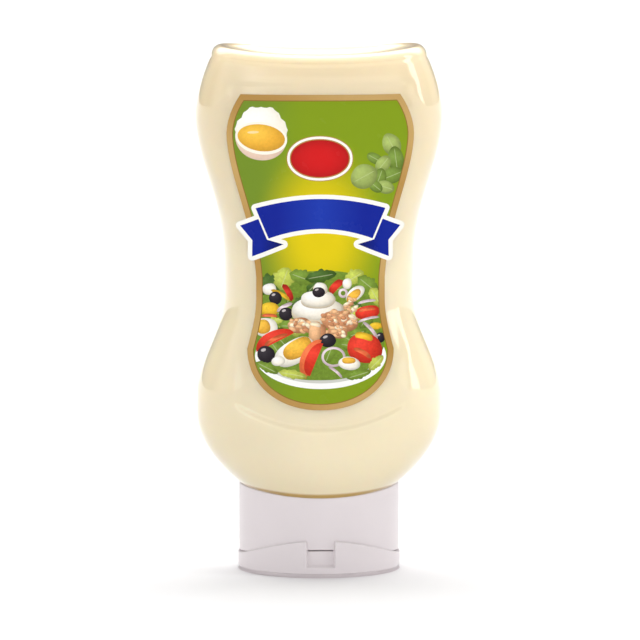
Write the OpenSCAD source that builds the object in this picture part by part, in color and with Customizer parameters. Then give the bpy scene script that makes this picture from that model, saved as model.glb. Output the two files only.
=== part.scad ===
// Squeeze bottle of mayonnaise that stands upside down on its flip cap.
// +Z is up and the front label faces -Y. The origin is the middle of the cap's foot.
// The bottle is a thin clear shell, filled to its base. The cap is a base and a shut lid.

/* [Bottle widths] */
// Width of the bottle across its upper bulge
upper_w = 92.4; // [80:0.2:115]
// Width of the bottle across its waist
waist_w = 70.8; // [58:0.2:78]
// Width of the bottle across its lower bulge
lower_w = 91.8; // [80:0.2:115]

/* [Bottle depths] */
// Depth of the bottle, front to back, across its lower bulge
lower_d = 56; // [52:0.5:70]
// Depth of the bottle, front to back, across its upper bulge
upper_d = 52; // [44:0.5:66]

/* [Bottle heights] */
// Height over which the shoulder widens at the sides
shoulder_h = 27; // [20:0.5:36]
// Height over which the shoulder deepens at the front and back
shoulder_front_h = 16; // [12:0.5:24]
// Height of the widest band of the lower bulge
lower_band_h = 5; // [2:0.5:12]
// Height of the taper from the lower bulge up to the waist
lower_taper_h = 40; // [32:0.5:54]
// Height of the straight band of the waist
waist_band_h = 8; // [4:0.5:20]
// Height of the taper from the waist up to the upper bulge
upper_taper_h = 59; // [48:0.5:74]
// Height of the crown, from the widest line of the upper bulge to the base's corners
crown_h = 25.5; // [21:0.5:34]

/* [Base of the bottle] */
// Width of the base's rim, outside its rounded edge
rim_w = 80.8; // [66:0.2:92]
// Depth of the base's rim, outside its rounded edge
rim_d = 43; // [36:0.5:52]
// Radius of the rounded edge of the base
rim_r = 4; // [2.5:0.1:6]
// How far the rim dips at the front and back, below its corners
rim_dip = 2.4; // [0:0.1:4]
// How far the middle of the base is pushed in
base_recess = 3; // [0.5:0.1:6]

/* [Wall] */
// Thickness of the bottle's plastic wall
wall_t = 1.2; // [0.8:0.1:2]

/* [Cap] */
// Width of the cap where the bottle's shoulder meets it
cap_w = 60; // [50:0.5:72]
// Depth of the cap where the bottle's shoulder meets it
cap_d = 50; // [42:0.5:52]
// Height of the cap's upper edge at its sides
cap_h = 33; // [28:0.5:42]
// How far the cap's upper edge dips at the front and back
cap_dip = 3; // [1:0.1:5]

/* [Lid] */
// Height of the joint between the lid and the cap's base, at the middle
joint_h = 10; // [9:0.1:14]
// How far the joint falls towards the sides
joint_fall = 3.2; // [1:0.1:5]
// How far the lid's lip climbs over the joint, at the middle of the front
lip_h = 4; // [2:0.1:8]
// How far the lip stands proud of the cap at the front and back
lip_out = 1.3; // [0.8:0.1:2.5]
// How far the lid stands proud of the cap at the sides
lid_out = 0.4; // [0.2:0.1:2]
// Radius of the rounded lower edge of the lid
foot_r = 1.2; // [0.5:0.1:2.5]
// Width of the groove that shows at the joint
joint_gap = 0.4; // [0.2:0.1:1]
// Depth of the groove that shows at the joint
joint_groove = 0.8; // [0.4:0.1:1.5]

/* [Thumb recess] */
// Width of the thumb recess in the lid's front
thumb_w = 10.6; // [8:0.2:18]
// Height of the recess's floor over the foot
thumb_z = 4.2; // [3:0.1:7]
// Depth of the recess behind the cap's surface
thumb_in = 0.5; // [0.2:0.1:1.5]

/* [Labels] */
// Distance of the label's side edges from the bottle's sides
label_inset = 11.5; // [8:0.5:16]
// How much nearer to the sides the label comes, halfway up the upper taper
label_swell = 1.7; // [0:0.1:4]
// How much further from the sides the label lies, where its round end starts
label_draw_in = 1.5; // [0:0.1:4]
// Height of the front label's lowest point
label_z = 63.4; // [58:0.2:80]
// Height of the label, from its lowest point to its upper edge
label_h = 117.6; // [90:0.2:124]
// Height of the round lower end of the label
label_round_h = 22.5; // [15:0.5:34]
// Height of the narrowing upper end of the label
label_top_h = 15.4; // [8:0.2:24]
// Width of the label's upper edge, as a share of the width where it starts to narrow
label_top_share = 0.85; // [0.7:0.01:0.98]
// Thickness of the label
label_t = 0.4; // [0.3:0.05:0.6]
// Height of the lower edge of the ribbon's tails over the label's lowest point
ribbon_z = 56.4; // [40:0.2:70]
// Height of the ribbon's tails
ribbon_h = 16.4; // [8:0.2:24]
// Distance of the ribbon's tips from the sides of the bottle's waist
ribbon_inset = 4.4; // [2:0.1:9]

/* [Hidden] */
$fn = 240;

// Facets of the bottle's skin: segments round a ring, and columns across a label
ring_n = 40;
label_n = 10;
// Small overlap of cutting bodies past the surface that they cut
cut = 1;
// Depth that is trimmed off the lid's rounded lower edge to leave the flat foot
foot_trim = 0.06;
// How far the label's back sinks into the bottle's skin, to cover its facets
label_sink = 0.2;
// Width of a label's end rows, where the round end closes
label_tip = 2.5;
// Height of the slopes between the label's sides and the ribbon's tails
row_gap = 0.6;

// Exponents of the bottle's sections: 2 is an ellipse, and more is squarer
cap_square = 2;
body_square = 2.5;
rim_square = 2.9;
// Exponent of the label's round end
label_square = 2.1;
// Exponents of the upper taper and of the crown: more bends later
taper_ease = 1.2;
crown_ease = 1.7;

// Levels of the bottle's outline
z_lower = cap_h + shoulder_h;
z_taper = z_lower + lower_band_h;
z_waist = z_taper + lower_taper_h;
z_rise = z_waist + waist_band_h;
z_upper = z_rise + upper_taper_h;
z_top = z_upper + crown_h;
z_edge = z_top - rim_r;
z_front = cap_h - cap_dip + shoulder_front_h;

// Radii of the arcs, lying across the cap, that fall by a given rise at the cap's sides
dip_r = arc_radius(cap_dip);
joint_r = arc_radius(joint_fall);
lip_r = arc_radius(joint_fall + lip_h);

function arc_radius(rise) = (pow(cap_w / 2, 2) + pow(rise, 2)) / (2 * rise);

// A slow start and a slow end, from 0 to 1
function ease(u) = (1 - cos(180 * u)) / 2;

function mix(a, b, u) = a + (b - a) * u;

// Half width of the bottle at height z, measured at its sides
function half_w(z) =
    z < z_lower ? mix(lower_w, cap_w, pow((z_lower - z) / shoulder_h, 2)) / 2 :
    z < z_taper ? lower_w / 2 :
    z < z_waist ? mix(lower_w, waist_w, ease((z - z_taper) / lower_taper_h)) / 2 :
    z < z_rise ? waist_w / 2 :
    z < z_upper ? mix(waist_w, upper_w, ease(pow((z - z_rise) / upper_taper_h, taper_ease))) / 2 :
    mix(upper_w, rim_w, pow((z - z_upper) / (z_edge - z_upper), crown_ease)) / 2;

// Half depth of the bottle at height z, measured at its front
function half_d(z) =
    z < z_front ? mix(lower_d, cap_d, pow((z_front - z) / shoulder_front_h, 2)) / 2 :
    z < z_upper ? mix(lower_d, upper_d, (z - z_front) / (z_upper - z_front)) / 2 :
    mix(upper_d, rim_d, pow((z - z_upper) / (z_edge - z_upper), crown_ease)) / 2;

// How squarely the section bends at height z
function square_at(z) =
    z < z_lower ? mix(cap_square, body_square, (z - cap_h) / shoulder_h) :
    z < z_upper ? body_square :
    mix(body_square, rim_square, (z - z_upper) / (z_edge - z_upper));

// How far the ring at side height z dips at the front and back
function dip_at(z) =
    z < z_lower ? cap_dip * (z_lower - z) / shoulder_h :
    z < z_upper ? 0 :
    rim_dip * pow((z - z_upper) / (z_edge - z_upper), 2);

function sign_pow(v, p) = sign(v) * pow(abs(v), p);

// One ring of points: half width, half depth, side height, dip and exponent
function ring(w, d, z, dip, e) = [
    for (k = [0 : ring_n - 1])
        let (a = 360 * k / ring_n, u = sign_pow(cos(a), 2 / e))
        [w * u, d * sign_pow(sin(a), 2 / e), z - dip * (1 - u * u)]
];

// Side heights of the rings from the cap to the rounded edge of the base
side_levels = [
    for (i = [0 : 7]) mix(cap_h, z_lower, i / 8),
    z_lower,
    for (i = [0 : 5]) mix(z_taper, z_waist, i / 6),
    z_waist,
    for (i = [0 : 6]) mix(z_rise, z_upper, i / 7),
    for (i = [0 : 4]) mix(z_upper, z_edge, i / 5)
];
edge_angles = [0, 30, 60, 90];
base_shares = [0.85, 0.5];

// All rings of the bottle's skin, moved inwards by t
function skin_rings(t) = [
    for (z = side_levels)
        ring(half_w(z) - t, half_d(z - dip_at(z)) - t, z, dip_at(z), square_at(z)),
    for (a = edge_angles)
        let (bend = (rim_r - t) * cos(a) - rim_r)
        ring(rim_w / 2 + bend, rim_d / 2 + bend, z_edge + (rim_r - t) * sin(a), rim_dip, rim_square),
    for (g = base_shares)
        ring((rim_w / 2 - rim_r) * g, (rim_d / 2 - rim_r) * g,
             z_top - t - rim_dip * (1 - g * g) - base_recess * (1 - pow(g, 4)),
             rim_dip * g * g, rim_square)
];

// The ring points in one list, with the middle of the base as the last point
function skin_points(t) = concat(
    [for (r = skin_rings(t)) each r],
    [[0, 0, z_top - t - rim_dip - base_recess]]
);

ring_count = len(side_levels) + len(edge_angles) + len(base_shares);
skin_size = ring_count * ring_n + 1;

// Triangles of a skin whose points start at the index first, facing out
function skin_faces(first) = concat(
    [for (j = [0 : ring_count - 2], k = [0 : ring_n - 1])
        let (a = first + j * ring_n + k,
             b = first + j * ring_n + (k + 1) % ring_n,
             d = a + ring_n,
             c = b + ring_n)
        each [[a, d, c], [a, c, b]]],
    [for (k = [0 : ring_n - 1])
        let (last = first + (ring_count - 1) * ring_n)
        [last + (k + 1) % ring_n, last + k, first + skin_size - 1]]
);

function turned(faces) = [for (f = faces) [f[2], f[1], f[0]]];

// How far the skin at x and height z lies in front of the bottle's middle plane
function front_y(x, z) =
    half_d(z) * pow(1 - pow(abs(x) / half_w(z), square_at(z)), 1 / square_at(z));

// The label's levels: its upper edge, and where the round end stops and the narrowing starts
label_top = label_z + label_h;
label_round_z = label_z + label_round_h;
label_narrow_z = label_top - label_top_h;
// How far the label's side stands from its even inset, at height z
function label_shift(z) =
    z < z_waist ? -label_draw_in * pow((z_waist - z) / (z_waist - label_round_z), 2) :
    z < z_rise || z > z_upper ? 0 :
    label_swell * sin(180 * (z - z_rise) / upper_taper_h);
// Half width of the label at height z: where it follows the bottle's side, and everywhere
function label_side(z) = half_w(z) - label_inset + label_shift(z);
function label_half_w(z) =
    z < label_round_z ?
        label_side(label_round_z)
        * pow(1 - pow((label_round_z - z) / label_round_h, label_square), 1 / label_square) :
    z < label_narrow_z ? label_side(z) :
        label_side(label_narrow_z)
        * mix(1, label_top_share, pow((z - label_narrow_z) / label_top_h, 2));

// Rows of a label as pairs of height and half width, from the bottom up
label_low_rows = [
    for (a = [8 : 16 : 88])
        let (z = label_round_z - label_round_h * cos(a))
        [z, max(label_tip, label_half_w(z))]
];
label_top_rows = [
    for (i = [0 : 2])
        let (z = mix(label_narrow_z, label_top, i / 2))
        [z, label_half_w(z)]
];
function side_rows(z0, z1, n) = [
    for (i = [0 : n])
        let (z = mix(z0, z1, i / n))
        [z, label_half_w(z)]
];
tail_z = label_z + ribbon_z;
ribbon_reach = waist_w / 2 - ribbon_inset;
plain_rows = concat(
    label_low_rows,
    side_rows(label_round_z, label_narrow_z - label_top_h, 8),
    label_top_rows
);
ribbon_rows = concat(
    label_low_rows,
    side_rows(label_round_z, tail_z, 3),
    [[tail_z + row_gap, ribbon_reach],
     [tail_z + ribbon_h / 2, ribbon_reach],
     [tail_z + ribbon_h - row_gap, ribbon_reach]],
    side_rows(tail_z + ribbon_h, label_narrow_z - label_top_h / 2, 3),
    label_top_rows
);

// A thin slab that lies on the front of the bottle and has the given rows
module label_slab(rows) {
    n = len(rows);
    side = label_n + 1;
    grid = function (out) [
        for (r = rows, i = [0 : label_n])
            let (x = r[1] * sin(mix(-90, 90, i / label_n)))
            [x, -front_y(x, r[0]) - out, r[0]]
    ];
    back = n * side;
    cells = [for (j = [0 : n - 2], i = [0 : label_n - 1]) j * side + i];
    polyhedron(
        points = concat(grid(label_t), grid(-label_sink)),
        faces = concat(
            [for (a = cells) each [[a, a + side, a + side + 1], [a, a + side + 1, a + 1]]],
            [for (a = cells)
                let (b = a + back)
                each [[b, b + side + 1, b + side], [b, b + 1, b + side + 1]]],
            [for (i = [0 : label_n - 1])
                let (t = (n - 1) * side + i)
                each [[i, i + 1, i + 1 + back], [i, i + 1 + back, i + back],
                      [t, t + 1 + back, t + 1], [t, t + back, t + 1 + back]]],
            [for (j = [0 : n - 2])
                let (l = j * side, r = l + label_n)
                each [[l, l + back, l + back + side], [l, l + back + side, l + side],
                      [r, r + back + side, r + back], [r, r + side, r + back + side]]]
        )
    );
}

// A straight oval column with its foot at height z
module oval(w, d, z, h) {
    translate([0, 0, z])
        linear_extrude(height = h)
            scale([1, d / w])
                circle(r = w / 2);
}

// A bar along Y, whose round top is r from its axis and reaches height z
module bar_under(z, r) {
    translate([0, 0, z - r])
        rotate([90, 0, 0])
            cylinder(r = r, h = cap_d + 4 * lip_out, center = true);
}

// The fixed part of the flip cap. Its upper face dips with the bottle's shoulder.
module cap_base() {
    color("white")
        difference() {
            oval(cap_w, cap_d, 0, cap_h + cut);
            translate([0, 0, 2 * dip_r])
                bar_under(cap_h - cap_dip, dip_r);
            bar_under(joint_h, joint_r);
            difference() {
                bar_under(joint_h + joint_gap, joint_r + joint_gap);
                oval(cap_w - 2 * joint_groove, cap_d - 2 * joint_groove, -cut, cap_h);
            }
        }
}

// The lid that the bottle stands on, shut, with its raised lip and thumb recess
module cap_lid() {
    lid_w = cap_w + 2 * lid_out;
    lid_d = cap_d + 2 * lip_out;
    color("white")
        difference() {
            intersection() {
                translate([0, 0, -foot_trim])
                    scale([1, lid_d / lid_w, 1])
                        rotate_extrude()
                            lid_profile(lid_w / 2);
                bar_under(joint_h + lip_h, lip_r);
                translate([0, 0, cap_h / 2])
                    cube([2 * cap_w, 2 * cap_w, cap_h], center = true);
            }
            difference() {
                oval(cap_w, cap_d, 0, cap_h);
                bar_under(joint_h, joint_r);
            }
            translate([-thumb_w / 2, -cap_d, thumb_z])
                cube([thumb_w, cap_d / 2 + thumb_in, cap_h]);
        }
}

// Half of the lid's upright section, with its lower edge rounded. It starts a little below
// the floor, so that cutting it there leaves a truly flat foot.
module lid_profile(r) {
    square([r - foot_r, cap_h]);
    translate([0, foot_r])
        square([r, cap_h - foot_r]);
    translate([r - foot_r, foot_r])
        circle(r = foot_r);
}

// The clear shell, open where it stands on the cap
module bottle() {
    mouth = [
        for (k = [0 : ring_n - 1])
            let (m = (k + 1) % ring_n)
            each [[k, m, skin_size + m], [k, skin_size + m, skin_size + k]]
    ];
    color([0.97, 0.93, 0.82])
        polyhedron(
            points = concat(skin_points(0), skin_points(wall_t)),
            faces = concat(skin_faces(0), turned(skin_faces(skin_size)), mouth)
        );
}

// The contents, which fill the shell down to the cap
module mayonnaise() {
    foot = [
        for (k = [0 : ring_n / 2 - 1])
            let (a = ring_n - k - 1, b = (ring_n - k) % ring_n)
            each (k == 0 ? [[0, 1, a]] :
                  k + 1 == a ? [[k, a, b]] :
                  [[k, k + 1, a], [k, a, b]])
    ];
    color([0.95, 0.89, 0.74])
        polyhedron(points = skin_points(wall_t), faces = concat(skin_faces(0), foot));
}

// The front label, with the tails of its ribbon standing out at the waist
module label_front() {
    color("olivedrab")
        label_slab(ribbon_rows);
}

// The back label, which has the same outline without the ribbon
module label_back() {
    color("olivedrab")
        rotate([0, 0, 180])
            label_slab(plain_rows);
}

cap_base();
cap_lid();
bottle();
mayonnaise();
label_front();
label_back();
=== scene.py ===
"""Squeeze bottle of mayonnaise that stands upside down on its flip cap.

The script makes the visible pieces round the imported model, which it loads as a fixed frame.
It is laid out as an add-on: settings, one operator for each piece or group of pieces, and a
panel. Sizes are in metres, apart from the printed shapes of the labels. Those are in
millimetres, across from the bottle's middle and up from the height called print low.
"""

import math
import random

import bpy
from mathutils import Matrix, Vector
from mathutils.geometry import delaunay_2d_cdt


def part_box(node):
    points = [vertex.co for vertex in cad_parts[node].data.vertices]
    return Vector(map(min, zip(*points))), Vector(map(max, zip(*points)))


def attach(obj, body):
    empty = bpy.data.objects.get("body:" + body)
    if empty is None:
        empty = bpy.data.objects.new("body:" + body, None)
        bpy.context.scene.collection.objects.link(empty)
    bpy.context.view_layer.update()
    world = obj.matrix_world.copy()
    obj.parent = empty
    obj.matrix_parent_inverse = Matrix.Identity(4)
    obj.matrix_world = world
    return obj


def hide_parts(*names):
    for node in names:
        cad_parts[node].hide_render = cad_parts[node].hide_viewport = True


bl_info = {
    "name": "Mayonnaise squeeze bottle",
    "version": (1, 0, 0),
    "blender": (4, 5, 0),
    "location": "3D View > Sidebar > Bottle",
    "description": "Makes a filled squeeze bottle with a flip cap and two printed labels",
    "category": "Add Mesh",
}

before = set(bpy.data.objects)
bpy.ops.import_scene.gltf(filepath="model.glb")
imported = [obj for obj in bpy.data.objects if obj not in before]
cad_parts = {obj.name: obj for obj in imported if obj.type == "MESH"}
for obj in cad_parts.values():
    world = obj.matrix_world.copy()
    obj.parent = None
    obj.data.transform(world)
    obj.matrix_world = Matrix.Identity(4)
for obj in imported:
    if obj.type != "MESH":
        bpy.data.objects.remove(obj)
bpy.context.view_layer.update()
MM = 0.001


# ---------------------------------------------------------------- settings


def span(node, axis):
    """Size of a CAD node along an axis: 0 is its width, 1 its depth and 2 its height."""
    low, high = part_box(node)
    return high[axis] - low[axis]


def top_of(node):
    """Height of a CAD node's highest point."""
    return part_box(node)[1].z


def length(name, description, default):
    """A size in metres."""
    return bpy.props.FloatProperty(
        name=name, description=description, default=default, min=0.0, precision=5, unit="LENGTH"
    )


def colour(name, description, default):
    """A colour, given as its three display values from 0 to 255."""
    return bpy.props.FloatVectorProperty(
        name=name,
        description=description,
        default=linear(default),
        min=0.0,
        max=1.0,
        size=3,
        subtype="COLOR",
    )


def linear(display):
    """Scene-linear colour from display values of 0 to 255."""
    shares = [value / 255 for value in display]
    return tuple(s / 12.92 if s <= 0.04045 else ((s + 0.055) / 1.055) ** 2.4 for s in shares)


class BottleForm(bpy.types.PropertyGroup):
    """Sizes of the bottle's wall, from its mouth on the cap up to its base."""

    upper_width: length("Upper width", "Width across the upper bulge", span("bottle", 0))
    waist_width: length("Waist width", "Width across the waist", 0.0708)
    lower_width: length("Lower width", "Width across the lower bulge", 0.0918)
    lower_depth: length("Lower depth", "Depth across the lower bulge", span("bottle", 1))
    upper_depth: length("Upper depth", "Depth across the upper bulge", 0.052)
    shoulder: length("Shoulder", "Height over which the sides widen above the cap", 0.027)
    front_shoulder: length("Front shoulder", "Height over which the front deepens", 0.016)
    lower_band: length("Lower band", "Height of the widest band of the lower bulge", 0.005)
    lower_taper: length("Lower taper", "Height from the lower bulge to the waist", 0.040)
    waist_band: length("Waist band", "Height of the straight waist", 0.008)
    upper_taper: length("Upper taper", "Height from the waist to the upper bulge", 0.059)
    crown: length("Crown", "Height from the upper bulge to the base's corners", 0.0255)
    rim_width: length("Rim width", "Width of the base's rim", 0.0808)
    rim_depth: length("Rim depth", "Depth of the base's rim", 0.043)
    rim_radius: length("Rim radius", "Radius of the base's rounded edge", 0.004)
    rim_dip: length("Rim dip", "How far the rim dips at the front and back", 0.0024)
    recess: length("Recess", "How far the middle of the base is pushed in", 0.003)
    wall: length("Wall", "Thickness of the plastic wall", 0.0012)
    panel_depth: length("Panel depth", "How far the label's panel lies behind the skin", 0.0008)


class CapForm(bpy.types.PropertyGroup):
    """Sizes of the flip cap that the bottle stands on."""

    width: length("Width", "Width of the cap's wall", span("cap_base", 0))
    depth: length("Depth", "Depth of the cap's wall", span("cap_base", 1))
    height: length("Height", "Height of the cap's upper edge at its sides", top_of("cap_base"))
    dip: length("Dip", "How far the upper edge dips at the front and back", 0.003)
    lid_width: length("Lid width", "Width of the lid", span("cap_lid", 0))
    lid_depth: length("Lid depth", "Depth of the lid", span("cap_lid", 1))
    joint: length("Joint", "Height of the joint between lid and cap at the middle", 0.010)
    joint_fall: length("Joint fall", "How far the joint falls towards the sides", 0.0032)
    lip: length("Lip", "How far the lid's lip climbs over the joint", top_of("cap_lid") - 0.010)
    joint_gap: length("Joint gap", "Width of the groove at the joint", 0.0004)
    foot_radius: length("Foot radius", "Radius of the lid's lower edge", 0.0012)
    edge_radius: length("Edge radius", "Radius of the other moulded edges", 0.0005)
    thumb_width: length("Thumb width", "Width of the thumb recess", 0.0106)
    thumb_floor: length("Thumb floor", "Height of the recess's floor", 0.0042)
    thumb_in: length("Thumb depth", "Depth of the recess behind the cap's wall", 0.0005)


class LabelForm(bpy.types.PropertyGroup):
    """Sizes of the labels on the bottle's front and back."""

    inset: length("Inset", "Distance of the side edges from the bottle's sides", 0.0115)
    swell: length("Swell", "How much nearer to the sides it comes in the upper taper", 0.0017)
    draw_in: length("Draw in", "How much further in it lies where the round end starts", 0.0015)
    low: length("Low", "Height of the lowest point", 0.0634)
    top: length("Top", "Height of the upper edge", top_of("label_front"))
    print_low: length("Print low", "Height the printed fields are measured from", 0.064)
    round_height: length("Round end", "Height of the round lower end", 0.0225)
    top_height: length("Top end", "Height of the narrowing upper end", 0.0154)
    top_share: bpy.props.FloatProperty(
        name="Top share", description="Share of the width left at the upper edge", default=0.85
    )
    border: length("Border", "Width of the golden border", 0.0021)
    film: length("Film", "How far the film stands proud of the bottle", 0.00012)
    sunk: length("Sunk", "How far the film's back reaches into the wall", 0.0001)


class Palette(bpy.types.PropertyGroup):
    """Colours of the materials and of the label's large fields."""

    plastic: colour("Clear plastic", "Tint of the bottle's plastic", (255, 252, 246))
    cap: colour("Cap", "White plastic of the cap", (225, 217, 219))
    cream: colour("Mayonnaise", "Cream of the mayonnaise", (250, 238, 209))
    # The golden shade painted on the fill where it meets thick edges: at the seam over the cap, the
    # crown and the rim.
    painted_shade: colour("Painted_golden_shade", "Golden tone where the fill meets a thick edge", (196, 158, 66))
    gold: colour("Gold", "The label's border", (180, 138, 72))
    gold_dark: colour("Dark gold", "Thin line inside the border", (140, 100, 40))
    green: colour("Green", "The label's field", (130, 155, 20))
    green_dark: colour("Dark green", "The field near its left side", (112, 140, 42))
    glow: colour("Glow", "Yellow glow in the middle of the field", (226, 202, 4))
    ribbon: colour("Ribbon", "Blue ribbon", (5, 32, 148))
    badge: colour("Badge", "Red oval badge", (212, 24, 26))
    paper: colour("Paper", "Pale edges of the print", (250, 248, 240))
    floor: colour("Floor", "Floor of the studio", (250, 250, 251))


FORMS = {"bottle_form": BottleForm, "cap_form": CapForm, "label_form": LabelForm, "palette": Palette}


# ---------------------------------------------------------------- numbers and curves


def mix(a, b, share):
    """Straight mix from a to b."""
    return a + (b - a) * share


def mix_colour(a, b, share):
    """Straight mix of two colours."""
    share = min(max(share, 0.0), 1.0)
    return tuple(mix(x, y, share) for x, y in zip(a, b))


def ease(share):
    """Slow start and slow end, from 0 to 1."""
    share = min(max(share, 0.0), 1.0)
    return (1 - math.cos(math.pi * share)) / 2


def rise(value, start, end):
    """0 at the start, 1 at the end and smooth between them."""
    return ease((value - start) / (end - start))


def steps(start, end, pitch):
    """Even values from start to end, no further apart than the pitch."""
    count = max(1, math.ceil(abs(end - start) / pitch))
    return [mix(start, end, i / count) for i in range(count + 1)]


def signed_power(value, exponent):
    """Power that keeps the sign of its base."""
    return math.copysign(abs(value) ** exponent, value)


# ---------------------------------------------------------------- form of the bottle


CAP_SQUARE = 2.0
BODY_SQUARE = 2.5
RIM_SQUARE = 2.9
TAPER_EASE = 1.2
CROWN_EASE = 1.7
LABEL_SQUARE = 2.1
RING_POINTS = 240

# The panel behind each label. Its ledge lies below the label and climbs towards the sides.
LEDGE_BELOW = 8.5 * MM
LEDGE_CLIMB = 5 * MM
LEDGE_REACH = 24 * MM
# How far the panel reaches past the label, and the height under which its sides run straight.
PANEL_ABOVE = 1 * MM
PANEL_BESIDE = 2 * MM
PANEL_STRAIGHT = 17 * MM
# Lengths over which the panel's edges slope.
LEDGE_SLOPE = 2 * MM
TOP_SLOPE = 6 * MM
SIDE_SLOPE = 5 * MM


class Levels:
    """Heights at which the bottle's outline changes."""

    def __init__(self, scene):
        form = scene.bottle_form
        self.mouth = scene.cap_form.height
        self.front = self.mouth - scene.cap_form.dip + form.front_shoulder
        self.lower = self.mouth + form.shoulder
        self.taper = self.lower + form.lower_band
        self.waist = self.taper + form.lower_taper
        self.rise = self.waist + form.waist_band
        self.upper = self.rise + form.upper_taper
        self.top = self.upper + form.crown
        self.edge = self.top - form.rim_radius


class Skin:
    """Outer surface of the bottle: its section at any height, and the panels behind the labels."""

    def __init__(self, scene):
        self.form = scene.bottle_form
        self.cap = scene.cap_form
        self.at = Levels(scene)
        self.label = Label(scene, self)

    def half_width(self, z):
        """Half width at height z, measured at the sides."""
        form, at = self.form, self.at
        if z < at.lower:
            share = ((at.lower - z) / form.shoulder) ** 2
            return mix(form.lower_width, self.cap.width, share) / 2
        if z < at.taper:
            return form.lower_width / 2
        if z < at.waist:
            return mix(form.lower_width, form.waist_width, ease((z - at.taper) / form.lower_taper)) / 2
        if z < at.rise:
            return form.waist_width / 2
        if z < at.upper:
            share = ease(((z - at.rise) / form.upper_taper) ** TAPER_EASE)
            return mix(form.waist_width, form.upper_width, share) / 2
        share = ((z - at.upper) / (at.edge - at.upper)) ** CROWN_EASE
        return mix(form.upper_width, form.rim_width, share) / 2

    def half_depth(self, z):
        """Half depth at height z, measured at the front."""
        form, at = self.form, self.at
        if z < at.front:
            share = ((at.front - z) / form.front_shoulder) ** 2
            return mix(form.lower_depth, self.cap.depth, share) / 2
        if z < at.upper:
            share = (z - at.front) / (at.upper - at.front)
            return mix(form.lower_depth, form.upper_depth, share) / 2
        share = ((z - at.upper) / (at.edge - at.upper)) ** CROWN_EASE
        return mix(form.upper_depth, form.rim_depth, share) / 2

    def squareness(self, z):
        """Exponent of the section at height z: 2 is an ellipse, and more is squarer."""
        at = self.at
        if z < at.lower:
            return mix(CAP_SQUARE, BODY_SQUARE, (z - at.mouth) / self.form.shoulder)
        if z < at.upper:
            return BODY_SQUARE
        return mix(BODY_SQUARE, RIM_SQUARE, (z - at.upper) / (at.edge - at.upper))

    def dip(self, z):
        """How far the ring at side height z dips at the front and back."""
        at = self.at
        if z < at.lower:
            return self.cap.dip * (at.lower - z) / self.form.shoulder
        if z < at.upper:
            return 0.0
        return self.form.rim_dip * ((z - at.upper) / (at.edge - at.upper)) ** 2

    def front(self, x, z):
        """How far the skin at x and height z lies in front of the middle plane."""
        square = self.squareness(z)
        across = min(abs(x) / self.half_width(z), 1.0)
        plain = self.half_depth(z) * (1 - across**square) ** (1 / square)
        return plain - self.panel(x, z)

    def panel(self, x, z):
        """Depth of the label's panel at x and height z: a soft step round the label."""
        label = self.label
        ledge = label.low - LEDGE_BELOW + LEDGE_CLIMB * (x / LEDGE_REACH) ** 2
        ceiling = label.top + PANEL_ABOVE
        inside = rise(z, ledge, ledge + LEDGE_SLOPE) * (1 - rise(z, ceiling, ceiling + TOP_SLOPE))
        margin = label.side(max(z, label.low + PANEL_STRAIGHT)) + PANEL_BESIDE
        return self.form.panel_depth * inside * (1 - rise(abs(x), margin, margin + SIDE_SLOPE))

    def ring(self, half_width, half_depth, z, dip, square, panel=False):
        """One closed ring of the skin, with the labels' panels pressed into it if asked."""
        ring = []
        for k in range(RING_POINTS):
            angle = math.tau * k / RING_POINTS
            across = signed_power(math.cos(angle), 2 / square)
            x = half_width * across
            y = half_depth * signed_power(math.sin(angle), 2 / square)
            height = z - dip * (1 - across * across)
            if panel and abs(y) > 2 * self.form.panel_depth:
                y -= math.copysign(self.panel(x, height), y)
            ring.append((x, y, height))
        return ring

    def side_ring(self, z, inset):
        """Ring of the side wall at side height z, moved inwards by the inset."""
        dip = self.dip(z)
        half_width = self.half_width(z) - inset
        half_depth = self.half_depth(z - dip) - inset
        return self.ring(half_width, half_depth, z, dip, self.squareness(z), panel=True)

    def edge_ring(self, angle, inset):
        """Ring of the base's rounded edge: 0 is its side and 90 degrees its top."""
        form = self.form
        radius = form.rim_radius - inset
        bend = radius * math.cos(angle) - form.rim_radius
        half_width = form.rim_width / 2 + bend
        half_depth = form.rim_depth / 2 + bend
        z = self.at.edge + radius * math.sin(angle)
        return self.ring(half_width, half_depth, z, form.rim_dip, RIM_SQUARE)

    def base_ring(self, share, inset):
        """Ring of the recessed base at a share of the rim's half width."""
        form = self.form
        half_width = (form.rim_width / 2 - form.rim_radius) * share
        half_depth = (form.rim_depth / 2 - form.rim_radius) * share
        z = self.at.top - inset - form.rim_dip * (1 - share**2) - form.recess * (1 - share**4)
        return self.ring(half_width, half_depth, z, form.rim_dip * share**2, RIM_SQUARE)

    def rings(self, inset, pitch):
        """All rings from the mouth up over the edge to near the middle of the base."""
        levels = steps(self.at.mouth, self.at.edge, pitch)
        edge = [math.radians(a) for a in range(10, 91, 10)]
        shares = [1 - 0.07 * i for i in range(1, 14)]
        rings = [self.side_ring(z, inset) for z in levels]
        rings += [self.edge_ring(a, inset) for a in edge]
        rings += [self.base_ring(s, inset) for s in shares]
        return rings

    def base_middle(self, inset):
        """Middle point of the recessed base."""
        return (0.0, 0.0, self.at.top - inset - self.form.rim_dip - self.form.recess)


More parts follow.
